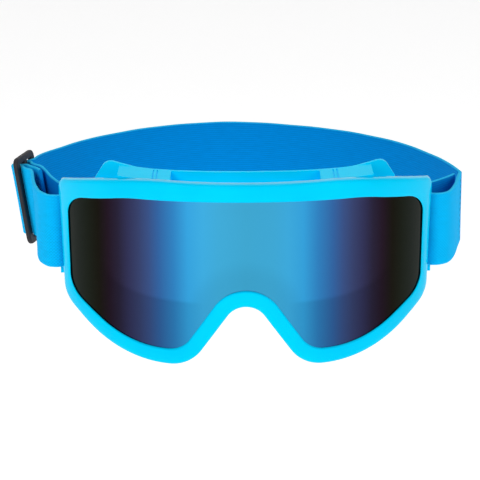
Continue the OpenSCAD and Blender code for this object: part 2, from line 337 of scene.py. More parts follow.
class Finish:
    """One material: a Principled shader, and the ways of adding what drives it."""

    def __init__(self, name, **fixed):
        self.material = bpy.data.materials.new(name)
        self.material.use_nodes = True
        self.tree = self.material.node_tree
        self.tree.nodes.clear()
        self.shader = self.node("ShaderNodeBsdfPrincipled", {}, fixed)
        self.node("ShaderNodeOutputMaterial", {}, {"Surface": self.shader.outputs["BSDF"]})

    def node(self, kind, settings, values):
        """Adds a node: its settings first, then the numbers or links of its inputs. 'stops' fills a colour ramp."""
        made = self.tree.nodes.new(kind)
        stops = settings.pop("stops", None)
        for key, value in settings.items():
            setattr(made, key, value)
        if stops:
            ramp = made.color_ramp
            while len(ramp.elements) > 1:
                ramp.elements.remove(ramp.elements[-1])
            ramp.elements[0].position, ramp.elements[0].color = stops[0][0], (*stops[0][1], 1)
            for place, colour in stops[1:]:
                ramp.elements.new(place).color = (*colour, 1)
        for key, value in values.items():
            socket = made.inputs[key]
            if isinstance(value, Value):
                value = value.socket
            if isinstance(value, bpy.types.NodeSocket):
                self.tree.links.new(value, socket)
            elif hasattr(socket.default_value, "__len__") and len(value) < len(socket.default_value):
                socket.default_value = (*value, 1)
            else:
                socket.default_value = value
        return made

    def math(self, operation, *values):
        """One Math node on values and plain numbers."""
        n = self.node("ShaderNodeMath", {"operation": operation}, dict(enumerate(values)))
        return Value(self, n.outputs["Value"])

    def place(self, which="Object"):
        """Object coordinates, or with "UV" the piece's own UV map."""
        return self.node("ShaderNodeTexCoord", {}, {}).outputs[which]

    def split(self, vector):
        """The three numbers of a vector."""
        n = self.node("ShaderNodeSeparateXYZ", {}, {"Vector": vector})
        return [Value(self, n.outputs[k]) for k in "XYZ"]

    def stretched(self, vector, scale):
        """A vector scaled by three numbers, one for each axis."""
        n = self.node("ShaderNodeMapping", {"vector_type": "POINT"}, {"Vector": vector, "Scale": scale})
        return n.outputs["Vector"]

    def noise(self, vector, scale, detail, roughness=0.5):
        """Smooth noise from 0 to 1."""
        n = self.node("ShaderNodeTexNoise", {}, {"Vector": vector, "Scale": scale, "Detail": detail,
                                                 "Roughness": roughness})
        return Value(self, n.outputs["Fac"])

    def cells(self, vector, scale):
        """Distance to the middle of the nearest cell."""
        n = self.node("ShaderNodeTexVoronoi", {}, {"Vector": vector, "Scale": scale})
        return Value(self, n.outputs["Distance"])

    def ramp(self, value, stops):
        """Colours run through at their places from 0 to 1."""
        return self.node("ShaderNodeValToRGB", {"stops": stops}, {"Fac": value}).outputs["Color"]

    def mix(self, share, a, b):
        """Colour a with a share of colour b."""
        n = self.node("ShaderNodeMix", {"data_type": "RGBA"}, {0: share, 6: a, 7: b})
        return n.outputs[2]

    def bump(self, height, depth, strength):
        """Normal of a relief depth mm deep where height runs from 0 to 1."""
        n = self.node("ShaderNodeBump", {}, {"Height": height, "Distance": depth / 1000, "Strength": strength})
        return n.outputs["Normal"]

    def drive(self, **links):
        """Links what varies over the surface, base, rough and normal, and gives back the material."""
        names = {"base": "Base Color", "rough": "Roughness", "normal": "Normal"}
        for key, value in links.items():
            socket = self.shader.inputs[names[key]]
            self.tree.links.new(value.socket if isinstance(value, Value) else value, socket)
        return self.material


def srgb(r, g, b):
    """Screen colour, 0 to 255, as linear light."""
    c = np.array([r, g, b]) / 255.0
    return tuple(float(v) for v in np.where(c <= 0.04045, c / 12.92, ((c + 0.055) / 1.055) ** 2.4))


def darker(colour, share):
    """The colour multiplied by share; a share above 1 makes it paler."""
    return tuple(float(c) * share for c in colour[:3])


@functools.cache
def gloss_rim_finish():
    """High-gloss moulded plastic: even colour, faint flow shading, a polished skin and hairline handling marks."""
    look = bpy.context.scene.goggles_look
    f = Finish("gloss_rim", **{"Specular IOR Level": 0.05, "Specular Tint": (0.3, 0.7, 1.0)})
    place = f.place()
    flow = f.noise(place, 28, 3)
    marks = f.noise(f.stretched(place, (900, 120, 160)), 6, 4, 0.7)
    base = f.mix(flow.between(0.3, 0.7), tuple(look.rim_colour), darker(look.rim_colour, 0.93))
    peel = f.noise(place, 900, 2)
    return f.drive(base=base, rough=0.07 + 0.09 * marks.between(0.55, 0.75) + 0.03 * flow,
                   normal=f.bump(peel, 0.012, 0.5))


@functools.cache
def satin_frame_finish():
    """Satin moulded plastic: fine even grain, soft reflections and a painted glow in its own colour that lightens the
    faces in shade, standing in for light through the plastic.
    """
    look = bpy.context.scene.goggles_look
    # the weak emission in the frame's colour is painted light: a glow that brightens the faces in shade
    f = Finish("satin_frame", **{"Specular IOR Level": 0.015, "Specular Tint": (0.3, 0.7, 1.0),
                                 "Emission Color": tuple(look.frame_colour), "Emission Strength": 0.1})
    place = f.place()
    flow = f.noise(place, 22, 3)
    grain = f.noise(place, 2600, 2, 0.6)
    base = f.mix(flow.between(0.25, 0.75), tuple(look.frame_colour), darker(look.frame_colour, 0.9))
    return f.drive(base=base, rough=0.3 + 0.12 * grain, normal=f.bump(grain, 0.02, 0.5))


@functools.cache
def lens_finish():
    """Mirror coating on a curved lens: its colour runs from blue at the middle through violet to near black at the
    sides, partly the coating's own colour and partly a painted reflection, bright in the middle and dark at the
    sides.
    Outside an oval and round the nose it carries painted shade, which leaves the oval lighter, like the eye opening
    seen lit through the lens."""
    f = Finish("mirror_lens", **{"Metallic": 1.0, "Specular Tint": (0.8, 0.82, 0.8)})
    place = f.place()
    x, _, z = f.split(place)
    across = abs(x) / (RIM_HALF / 1000) + 0.015 * (f.noise(f.stretched(place, (9, 9, 2.5)), 2.0, 2) - 0.5)
    # painted reflection in the ramp: light in the middle and near black at the sides, over the coating's own blue and
    # violet
    stops = [(0.0, srgb(64, 167, 209)), (0.143, srgb(64, 169, 214)), (0.221, srgb(62, 170, 221)),
             (0.301, srgb(54, 161, 219)), (0.378, srgb(49, 129, 191)), (0.458, srgb(52, 100, 161)),
             (0.512, srgb(59, 82, 134)), (0.565, srgb(58, 68, 110)), (0.62, srgb(53, 54, 90)),
             (0.675, srgb(44, 38, 60)), (0.73, srgb(38, 24, 38)), (0.787, srgb(26, 22, 12)),
             (0.844, srgb(22, 28, 16)), (0.903, srgb(18, 27, 21)), (1.0, srgb(6, 14, 12))]
    wide, level, deep, nose_drop = 0.0685, 0.0085, 0.0235, 0.021
    # painted shade outside an oval and round the nose: the lighter oval stands for the eye opening seen lit through
    # the lens
    oval = 1 - (abs(x) / wide) ** 4 - (f.math("MAXIMUM", level - z, 0.0) / deep) ** 4
    nose = x * x + (z + nose_drop) * (z + nose_drop)
    clear = oval.between(-0.1, 0.25) * nose.between(0.018**2, 0.029**2)
    # share of black: 0.24 everywhere for the coating's own darkness, plus painted shade outside the oval
    shade = 0.24 + (0.06 + 0.1 * abs(x).between(0.01, 0.04)) * (1 - clear)
    haze = f.noise(place, 60, 3)
    return f.drive(base=f.mix(shade, f.ramp(across, stops), (0.0, 0.0, 0.0)), rough=0.06 + 0.05 * haze)


@functools.cache
def webbing_finish():
    """Woven elastic: inside, fine ribs along the strap crossed by the picks that hold them; outside, a lattice of
    dots; paler selvedges, painted shade in the weave's valleys, and fuzz. Its UV map holds mm along and round the
    strap, divided by 100."""
    look = bpy.context.scene.goggles_look
    f = Finish("elastic_webbing", **{"Specular IOR Level": 0.03, "Specular Tint": (0.3, 0.7, 1.0)})
    along, across, _ = f.split(f.place("UV"))
    rib_pitch, pick_pitch, dot_pitch = 1.15, 0.95, 1.5
    turn = (across / (SECTION_ROUND / 100)).fraction()
    outside = turn.between(0.447, 0.455) - turn.between(0.947, 0.955)
    rib = (across * (100 * math.tau / rib_pitch)).sin()
    row = (across * (100 / rib_pitch)).floor()
    pick = (along * (100 * math.tau / pick_pitch) + row * math.pi).sin()
    ribbed = 0.5 + 0.28 * rib + 0.2 * pick * (0.6 + 0.4 * rib)
    dots = 100 * math.tau / dot_pitch
    dotted = 0.5 + 0.5 * (along * dots).sin() * (across * dots).sin()
    weave = ribbed + outside * (dotted - ribbed)
    soft = f.noise(f.stretched(f.place("UV"), (0.35, 3.0, 1)), 40, 3)
    fuzz = f.noise(f.place(), 1500, 3, 0.7)
    plain = f.mix(outside, tuple(look.reverse_colour), tuple(look.strap_colour))
    edge = (turn.between(0.436, 0.44) - turn.between(0.462, 0.466) + turn.between(0.936, 0.94)
            - turn.between(0.962, 0.966))
    plain = f.mix(0.85 * edge, plain, tuple(look.edge_colour))
    # painted shade: the colour darkens towards deep blue where the weave's relief is low
    tone = f.mix(weave.between(0.05, 0.75), f.mix(0.2, plain, (0.0, 0.02, 0.08)), plain)
    tone = f.mix(0.12 * soft.between(0.35, 0.7), tone, (0.0, 0.1, 0.3))
    return f.drive(base=tone, rough=0.62 + 0.25 * fuzz, normal=f.bump(weave + 0.25 * fuzz, 0.1, 0.6))


@functools.cache
def thread_finish():
    """Twisted sewing thread: slanting strands."""
    look = bpy.context.scene.goggles_look
    f = Finish("thread", **{"Specular IOR Level": 0.3})
    x, y, z = f.split(f.place())
    strand = 0.0007
    twist = ((z + x + y) * (math.tau / strand)).sin()
    tone = f.mix(twist.between(-0.6, 0.7), darker(look.strap_colour, 0.45), darker(look.strap_colour, 0.8))
    return f.drive(base=tone, rough=0.5 + 0.2 * twist.between(-1, 1), normal=f.bump(twist, 0.1, 0.8))


@functools.cache
def foam_finish():
    """Open-cell foam: a crowd of small pores, with painted shade inside them."""
    look = bpy.context.scene.goggles_look
    f = Finish("open_foam", **{"Specular IOR Level": 0.15})
    place = f.place()
    pore = f.cells(place, 1300)
    coarse = f.cells(place, 620)
    broad = f.noise(place, 45, 3)
    height = pore.between(0.05, 0.5) * 0.6 + coarse.between(0.05, 0.45) * 0.4
    # painted shade: the colour is darker where the pores' relief is low and lighter where it is high
    tone = f.mix(height, darker(look.foam_colour, 1.5), darker(look.foam_colour, 0.35))
    tone = f.mix(0.3 * broad, tone, tuple(look.foam_colour))
    return f.drive(base=tone, rough=0.85 + 0.1 * broad, normal=f.bump(1 - height, 0.35, 0.8))


@functools.cache
def fleece_finish():
    """Brushed fleece: short tangled pile with matted patches."""
    look = bpy.context.scene.goggles_look
    f = Finish("brushed_fleece", **{"Specular IOR Level": 0.12, "Sheen Weight": 0.5, "Sheen Roughness": 0.6})
    place = f.place()
    pile = f.noise(place, 1900, 5, 0.75)
    clump = f.noise(place, 260, 3)
    tone = f.mix(pile.between(0.3, 0.7), darker(look.fleece_colour, 0.5), darker(look.fleece_colour, 1.7))
    return f.drive(base=tone, rough=0.88 + 0.1 * clump, normal=f.bump(pile + 0.6 * clump, 0.5, 0.8))


@functools.cache
def adjuster_finish():
    """Spark-eroded moulded plastic: near black, finely pitted, rubbed a little smoother in patches."""
    look = bpy.context.scene.goggles_look
    f = Finish("adjuster_plastic", **{"Specular IOR Level": 0.25})
    place = f.place()
    pit = f.noise(place, 2400, 3, 0.65)
    rub = f.noise(place, 90, 3)
    tone = f.mix(rub.between(0.3, 0.75), tuple(look.adjuster_colour), darker(look.adjuster_colour, 1.6))
    return f.drive(base=tone, rough=0.42 + 0.18 * rub + 0.1 * pit, normal=f.bump(pit, 0.05, 0.6))


@functools.cache
def floor_finish():
    """Pale matt floor with the faintest unevenness and a glow that keeps shadows light."""
    look = bpy.context.scene.goggles_look
    f = Finish("pale_floor", **{"Specular IOR Level": 0.1, "Emission Color": (1, 1, 1), "Emission Strength": 0.42})
    broad = f.noise(f.place(), 1.5, 2)
    tone = f.mix(broad, tuple(look.floor_colour), darker(look.floor_colour, 0.985))
    return f.drive(base=tone, rough=0.85 + 0.05 * broad)


# ---------------------------------------------------------------- strap


def strap_at(x, y, lean=0.0):
    """A knot of the strap at x and y, where y was drawn with the plates' middle at LUG_Y_DRAWN."""
    return (x, LUG_Y + (y - LUG_Y_DRAWN), lean, 0.0)


SLIDER_MID = np.array(strap_at(-111.3, 132.6)[:2])
BACK = np.array([math.cos(math.radians(SLIDER_TURN)), math.sin(math.radians(SLIDER_TURN))])
OUT = np.array([-BACK[1], BACK[0]])


def by_slider(a, v, lean=SLIDER_LEAN):
    """A knot a mm behind the adjuster's middle and v mm outside it."""
    tilt = math.radians(SLIDER_LEAN)
    p = SLIDER_MID + a * BACK + v * OUT * math.cos(tilt)
    return (p[0], p[1], lean, -v * math.sin(tilt))


def by_lug(side, x, y):
    """A knot beside the plate on one side, measured from the rim's edge and the plate's middle."""
    return (side * (RIM_HALF + x), LUG_Y + y, 0.0, 0.0)


# Knots (x, y, lean, z) of the strap: the band round the back, the length over the adjuster's middle bar, the loop
# at the left plate, the loop at the right plate, and the end that is sewn round the adjuster's middle bar
BAND = [strap_at(108.9, 107.6), strap_at(104, 129.5), strap_at(94.6, 154), strap_at(80, 180.2),
        strap_at(57.5, 204), strap_at(27, 222.5), strap_at(-4, 231.4), strap_at(-33, 227.2),
        strap_at(-60, 212.3), strap_at(-83, 190, 2.5), strap_at(-95.1, 169.8, 6), strap_at(-101.8, 158.5, 8)]
OVER = [by_slider(a, v) for a, v in ((16.15, -2.3), (10, -2.3), (7.6, -1.5), (6, 1.6), (4.4, 4.6), (0, 6),
                                     (-4.4, 4.6), (-6, 1.6), (-7.6, -1.5), (-10, -2.75))]
LEFT = [strap_at(108.8, 107.5), strap_at(106.4, 95.5), strap_at(104.1, 82.5), by_lug(1, 12.9, 1.2),
        by_lug(1, 10, -5.4), by_lug(1, 6, -8.5), by_lug(1, 2.7, -8.7), by_lug(1, 0.4, -7.4), by_lug(1, -1, -5),
        by_lug(1, -1, 5.3), by_lug(1, 1.2, 11.6), strap_at(95.6, 89.4), strap_at(101.4, 97.2),
        strap_at(105.2, 103.2)]
RIGHT = [by_slider(-10, -2.75), by_slider(-12.3, -4.15), by_slider(-16, -6.6), by_slider(-23, -11.2, 7.5),
         strap_at(-104.7, 94, 3.5), strap_at(-103.1, 81.5, 1), by_lug(-1, 12.3, 0.5), by_lug(-1, 8.3, -6.9),
         by_lug(-1, 5.4, -8.6), by_lug(-1, 2.6, -8.7), by_lug(-1, 0.4, -7.4), by_lug(-1, -1, -5),
         by_lug(-1, -1, 5.3), by_lug(-1, 0.56, 10.7), strap_at(-92.7, 92, 3), strap_at(-96.1, 102.5, 5.5),
         by_slider(-15.7, -14.6, 8), by_slider(-7.7, -8.72)]
TAIL = [(-16.3, -11.8), (-24.4, -17)]
END = [by_slider(a, v) for a, v in ((-3, -5.4), (1, -3.6), (3.5, -1.5), (3.4, 0.6), (2.6, 2.1), (0, 2.3),
                                    (-2.6, 2.1), (-3.4, 0.6), (-3.75, -1), (-5.2, -3.4), (-9.5, -6.4), *TAIL)]


def webbing(name, knots, step, turned=False):
    """Flat webbing along knots (x, y, lean, z), in steps of about step mm. Its section is a slab with half-round
    edges: straight faces half the thickness from the middle, joined by the cosine and sine of half a turn. The
    section is carried along the smooth curve with its top leaning by the lean in degrees, the way the adjuster
    leans, and faint sine waves move its edges by about a tenth of a millimetre. The UV map holds the length along
    and the way round the section, both in mm / 100; turned starts it on the other face."""
    c = catmull(knots, 24)
    run = np.concatenate([[0.0], np.cumsum(np.linalg.norm(np.diff(c[:, :2], axis=0), axis=1))])
    n = max(8, int(run[-1] / step))
    s = np.linspace(0, run[-1], n + 1)
    c = np.column_stack([np.interp(s, run, c[:, k]) for k in range(4)])
    lean = np.radians(c[:, 2])
    rise = np.column_stack([OUT[0] * np.sin(lean), OUT[1] * np.sin(lean), np.cos(lean)])
    side = np.cross(np.gradient(c[:, [0, 1, 3]], axis=0), rise)
    side /= np.linalg.norm(side, axis=1, keepdims=True)
    w, r = STRAP_WIDTH / 2, STRAP_THICKNESS / 2
    turn = np.linspace(-math.pi / 2, math.pi / 2, 7)
    flat = np.linspace(-1, 1, 15)[1:-1] * (w - r)
    up = np.concatenate([flat, w - r + np.cos(turn) * r, -flat, -(w - r) - np.cos(turn) * r])
    through = np.concatenate([np.full(13, -r), np.sin(turn) * r, np.full(13, r), -np.sin(turn) * r])
    edge = np.abs(up) / w
    through = through * (1 + 0.10 * np.exp(-(((edge - 0.93) / 0.05) ** 2)))
    phase = s[:, None]
    wave = 0.10 * np.sin(phase / 9.0 + 0.4) + 0.07 * np.sin(phase / 4.1)
    a = up[None, :] + wave * edge[None, :] * 0.6 * np.sign(up)[None, :]
    b = through[None, :] + 0.05 * np.sin(phase / 6.3 + up[None, :] / 7.0)
    centre = np.column_stack([c[:, 0], c[:, 1], STRAP_Z + c[:, 3]])
    points = centre[:, None, :] + side[:, None, :] * b[..., None] + rise[:, None, :] * a[..., None]
    sides = np.hypot(np.diff(np.append(up, up[0])), np.diff(np.append(through, through[0])))
    way_round = np.concatenate([[0.0], np.cumsum(sides)]) + (OTHER_FACE if turned else 0.0)
    uv = np.stack(np.meshgrid(s / 100, way_round / 100, indexing="ij"), axis=-1)
    return outward(grid_mesh(name, to_row(points), close_v=True, caps=True, uv=uv))


# ---------------------------------------------------------------- settings


def colour_property(name, description, default):
    """A colour that the panel shows as a swatch."""
    return bpy.props.FloatVectorProperty(name=name, description=description, subtype="COLOR", size=3, min=0, max=1,
                                         default=default)


class GogglesLook(bpy.types.PropertyGroup):
    """Colours of the goggles and the floor."""

    rim_colour: colour_property("Rim", "Colour of the glossy front rim", srgb(0, 207, 252))
    frame_colour: colour_property("Frame", "Colour of the satin face frame", srgb(0, 212, 255))
    strap_colour: colour_property("Strap", "Colour of the outside of the webbing", srgb(8, 190, 254))
    reverse_colour: colour_property("Strap lining", "Colour of the inside of the webbing", srgb(0, 140, 222))
    edge_colour: colour_property("Selvedge", "Colour of the webbing's edges", srgb(50, 205, 252))
    foam_colour: colour_property("Foam", "Colour of the face and vent foam", srgb(44, 45, 50))
    fleece_colour: colour_property("Fleece", "Colour of the fleece on the face foam", srgb(34, 34, 38))
    adjuster_colour: colour_property("Adjuster", "Colour of the strap adjuster", srgb(42, 40, 43))
    floor_colour: colour_property("Floor", "Colour of the studio floor", (0.9, 0.9, 0.9))


class GogglesSizes(bpy.types.PropertyGroup):
    """Sizes that finish the visible pieces."""

    rim_rounding: bpy.props.FloatProperty(name="Rim rounding", description="Radius of the rim's outer edge",
                                          default=0.0020, min=0.0005, max=0.0025, unit="LENGTH")
    lip_rounding: bpy.props.FloatProperty(name="Lip rounding", description="Radius of the edge round the lens",
                                          default=0.0010, min=0.0003, max=0.0015, unit="LENGTH")
    edge_rounding: bpy.props.FloatProperty(name="Frame rounding", description="Radius of the face frame's edges",
                                           default=0.0006, min=0.0002, max=0.001, unit="LENGTH")
    floor_drop: bpy.props.FloatProperty(name="Floor drop", description="How far the floor lies below the goggles",
                                        default=0.10, min=0.0, max=0.5, unit="LENGTH")


class Piece:
    """What every operator here shares."""

    bl_options = {"REGISTER", "UNDO"}


class GOGGLES_OT_rim(Piece, bpy.types.Operator):
    """Glossy front rim"""

    bl_idname = "goggles.rim"
    bl_label = "Rim"

    def execute(self, context):
        """The rim's section is carried round the space between the outer outline and the lens opening. At each
        place the section is measured inwards from the outer edge: quarter circles round both front edges, a sine
        crowns the face between them, and all of it is laid back by the front curve. Further out than RIM_HALF the
        depths shrink in proportion, so that the back stays level with its depth at RIM_HALF."""
        sizes = context.scene.goggles_sizes
        outer, inner = facing_outlines(outline(RIM), RIM_MARKS, outline(LENS), LENS_MARKS, 640)
        across = inner - outer
        width = np.linalg.norm(across, axis=1)
        way = across / width[:, None]
        big = np.minimum(sizes.rim_rounding * 1000, 0.45 * width)[:, None]
        small = np.minimum(sizes.lip_rounding * 1000, 0.25 * width)[:, None]
        t = np.linspace(0, math.pi / 2, 9)[None, :]
        w = width[:, None]
        one = np.ones_like(w)
        crown = np.linspace(0, 1, 7)[None, 1:-1]
        inward = np.hstack([0 * one, 0 * one, 0 * one, big - big * np.cos(t), big + (w - small - big) * crown,
                            w - small + small * np.sin(t), w, w, w, 0.66 * w, 0.33 * w])
        back = RIM_DEPTH * one
        depth = np.hstack([back, 4.6 * one, 3.3 * one, RIM_FACE + big - big * np.sin(t),
                           RIM_FACE - RIM_FACE * np.sin(math.pi * crown) * one,
                           RIM_FACE + small - small * np.cos(t), 2.2 * one, 3.6 * one, back, back, back])
        flat = outer[:, None, :] + way[:, None, :] * inward[..., None]
        front = sag(flat[..., 0])
        depth = depth * np.clip((sag(RIM_HALF) + RIM_DEPTH - front) / RIM_DEPTH, 0, 1)
        points = np.stack([flat[..., 0], front + depth, flat[..., 1]], axis=-1)
        piece = outward(grid_mesh("rim", to_row(points), close_u=True, close_v=True))
        dress(piece, gloss_rim_finish(), "goggles", "front_frame", slot="rim")
        return {"FINISHED"}


class GOGGLES_OT_lens(Piece, bpy.types.Operator):
    """Mirrored lens"""

    bl_idname = "goggles.lens"
    bl_label = "Lens"

    def execute(self, context):
        """Columns across the lens run from its lower to its upper outline. The front and back skins are the front
        curve moved back by the recess, and by the recess and the thickness; a closed section joins them."""
        edge = inset(outline(LENS), -LENS_OVERLAP)
        edge = at_lengths(edge, np.linspace(0, lengths(edge)[-1], 4000, endpoint=False))
        right = edge[edge[:, 0] >= 0]
        reach = right[:, 0].max() - 0.02
        low = right[right[:, 1] < -10]
        high = right[right[:, 1] >= -10]
        low, high = low[np.argsort(low[:, 0])], high[np.argsort(high[:, 0])]
        x = reach * np.sin(np.linspace(-math.pi / 2, math.pi / 2, 301))
        bottom = np.interp(np.abs(x), low[:, 0], low[:, 1])
        top = np.interp(np.abs(x), high[:, 0], high[:, 1])
        t = np.linspace(0, 1, 61)
        height = np.concatenate([t, t[::-1]])[None, :]
        back = np.repeat([LENS_RECESS, LENS_RECESS + LENS_THICKNESS], len(t))[None, :]
        z = bottom[:, None] + (top - bottom)[:, None] * height
        xs = np.repeat(x[:, None], 2 * len(t), axis=1)
        points = np.stack([xs, sag(xs) + back, z], axis=-1)
        piece = outward(grid_mesh("lens_shell", to_row(points), close_v=True, caps=True))
        piece.data.set_sharp_from_angle(angle=math.radians(40))
        dress(piece, lens_finish(), "goggles", "lens", slot="lens")
        return {"FINISHED"}


class GOGGLES_OT_face_frame(Piece, bpy.types.Operator):
    """Face frame and the plates that hold the strap"""

    bl_idname = "goggles.face_frame"
    bl_label = "Face frame"

    def execute(self, context):
        """The CAD nodes keep their shape: they get their finish and rounded edges."""
        width = context.scene.goggles_sizes.edge_rounding * 1000
        for node, radius, segments in (("face_frame", width, 2), ("left_lug", 1.0, 3), ("right_lug", 1.0, 3)):
            soften_edges(paint(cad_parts[node], satin_frame_finish()), radius, segments)
        return {"FINISHED"}


class GOGGLES_OT_pads(Piece, bpy.types.Operator):
    """Face foam, its fleece and the foam behind the vents"""

    bl_idname = "goggles.pads"
    bl_label = "Foam and fleece"

    def execute(self, context):
        """The face foam and its fleece are carried round the space between the frame's outline and the eye opening,
        which is cut into facing points; the vent foams lie inside the frame's wall."""
        outer, inner = facing_outlines(inset(outline(BODY), 6.6), BODY_MARKS, outline(EYES), EYE_MARKS, 420)
        self.face_foam(outer, inner - outer)
        self.face_fleece(outer, inner - outer)
        self.vent_foams()
        return {"FINISHED"}

    @staticmethod
    def ring(name, outer, across, share, depth_share, proud):
        """A closed section carried round the face: share says how far inwards each of its points lies, depth_share
        how far from the flange to the face curve, and proud how many mm past that."""
        flat = outer[:, None, :] + across[:, None, :] * share[None, :, None]
        front = sag(flat[..., 0]) + FRAME_DEPTH + 0.02
        rear = sag(flat[..., 0], FACE_RADIUS) + FRAME_DEPTH + FOAM_DEPTH
        y = front + (rear - front) * depth_share[None, :] + proud[None, :]
        points = np.stack([flat[..., 0], y, flat[..., 1]], axis=-1)
        return outward(grid_mesh(name, to_row(points), close_u=True, close_v=True))

    def face_foam(self, outer, across):
        """The foam's section is a slab whose sides are pulled in by a sine and whose rear corners are quarter
        circles."""
        t = np.linspace(0, math.pi / 2, 8)
        side = np.linspace(0, 0.8, 8)
        pull = 0.035 * np.sin(side / 0.8 * math.pi)
        share = np.concatenate([pull, 0.10 - 0.10 * np.cos(t[1:]), np.linspace(0.1, 0.9, 12)[1:-1],
                                0.9 + 0.10 * np.sin(t), 1 - pull[::-1][1:], np.linspace(1, 0, 8)[1:-1]])
        depth = np.concatenate([side, 0.8 + 0.2 * np.sin(t[1:]), np.ones(10), 0.8 + 0.2 * np.cos(t),
                                side[::-1][1:], np.zeros(6)])
        foam = self.ring("face_foam_ring", outer, across, share, depth, np.zeros_like(share))
        dress(foam, foam_finish(), "goggles", "face_foam", slot="foam")

    def face_fleece(self, outer, across):
        """The fleece is a thin skin on the foam's back: its inner face follows the foam, turned over both rear
        corners, and its outer face stands proud of it, thinning to a hem at either side."""
        t = np.linspace(0, math.pi / 2, 8)
        hem = np.concatenate([[0.03], 0.10 - 0.08 * np.cos(t), np.linspace(0.1, 0.9, 14)[1:-1],
                              0.9 + 0.08 * np.sin(t), [0.97]])
        base = np.concatenate([[0.9], 0.93 + 0.07 * np.sin(t), np.ones(12), 0.93 + 0.07 * np.cos(t), [0.9]])
        top = np.concatenate([[0.1], np.linspace(0.9, 1.75, 8), np.full(12, 1.8), np.linspace(1.75, 0.9, 8), [0.1]])
        fleece = self.ring("face_fleece_skin", outer, across, np.concatenate([hem, hem[::-1][1:-1]]),
                           np.concatenate([base, base[::-1][1:-1]]),
                           np.concatenate([top, np.full(len(hem) - 2, 0.02)]))
        dress(fleece, fleece_finish(), "goggles", "face_fleece", slot="fleece")

    @staticmethod
    def vent_foams():
        """Each vent foam is a strip of the frame's outline inside its wall, VENT_FOAM thick, carried back behind
        the vent windows with its front and rear edges drawn together by the fourth root of a sine."""
        strip = inset(outline(BODY), WALL_INSET + WALL + VENT_GAP)
        strip = at_lengths(strip, np.linspace(0, lengths(strip)[-1], 2400, endpoint=False))
        under = inset(strip, VENT_FOAM)
        e = np.linspace(0, 1, 25)
        swell = np.sin(np.clip(e * 1.02 - 0.01, 0, 1) * math.pi) ** 0.25
        pinch = (0.25 * (1 - swell))[None, :, None]
        back = 9.1 + 18.3 * e
        x, z = strip.T
        for name, x0, x1, z0, z1 in (("top_vent_foam", -71.8, 71.8, 8, 30),
                                     ("lower_vent_foam_left", 27.2, 60.8, -70, -30),
                                     ("lower_vent_foam_right", -60.8, -27.2, -70, -30)):
            keep = (x > x0) & (x < x1) & (z > z0) & (z < z1)
            a, b = strip[keep], under[keep]
            order = np.argsort(a[:, 0])[::4]
            a, b = a[order][:, None, :], b[order][:, None, :]
            flat = np.concatenate([a + (b - a) * pinch, b - (b - a) * pinch], axis=1)
            depth = np.concatenate([back, back[::-1]])
            points = np.stack([flat[..., 0], sag(flat[..., 0]) + depth[None, :], flat[..., 1]], axis=-1)
            pad = outward(grid_mesh(name + "_strip", to_row(points), close_v=True, caps=True))
            dress(pad, foam_finish(), "goggles", name, slot="foam")


class GOGGLES_OT_strap(Piece, bpy.types.Operator):
    """Elastic strap: the band round the head, the loop at each plate and the end sewn to the adjuster"""

    bl_idname = "goggles.strap"
    bl_label = "Strap"

    def execute(self, context):
        """Three lengths of webbing along their knots. The two that meet the adjuster turn smoothly from the strap's
        body to the adjuster's."""
        material = webbing_finish()
        band = webbing("strap_main", BAND + OVER, 1.0)
        dress(band, material, None, "strap_band", "adjusting_span", "strap_over_bar", slot="webbing")
        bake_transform(band)

        left = webbing("strap_left_loop", LEFT, 0.7, turned=True)
        dress(left, material, "strap", "left_loop", slot="webbing")

        right = webbing("strap_right_loop", RIGHT + END, 0.6)
        dress(right, material, None, "right_front_layer", "right_lug_turn", "right_back_layer", "sewn_end",
              slot="webbing")
        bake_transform(right)
        return {"FINISHED"}


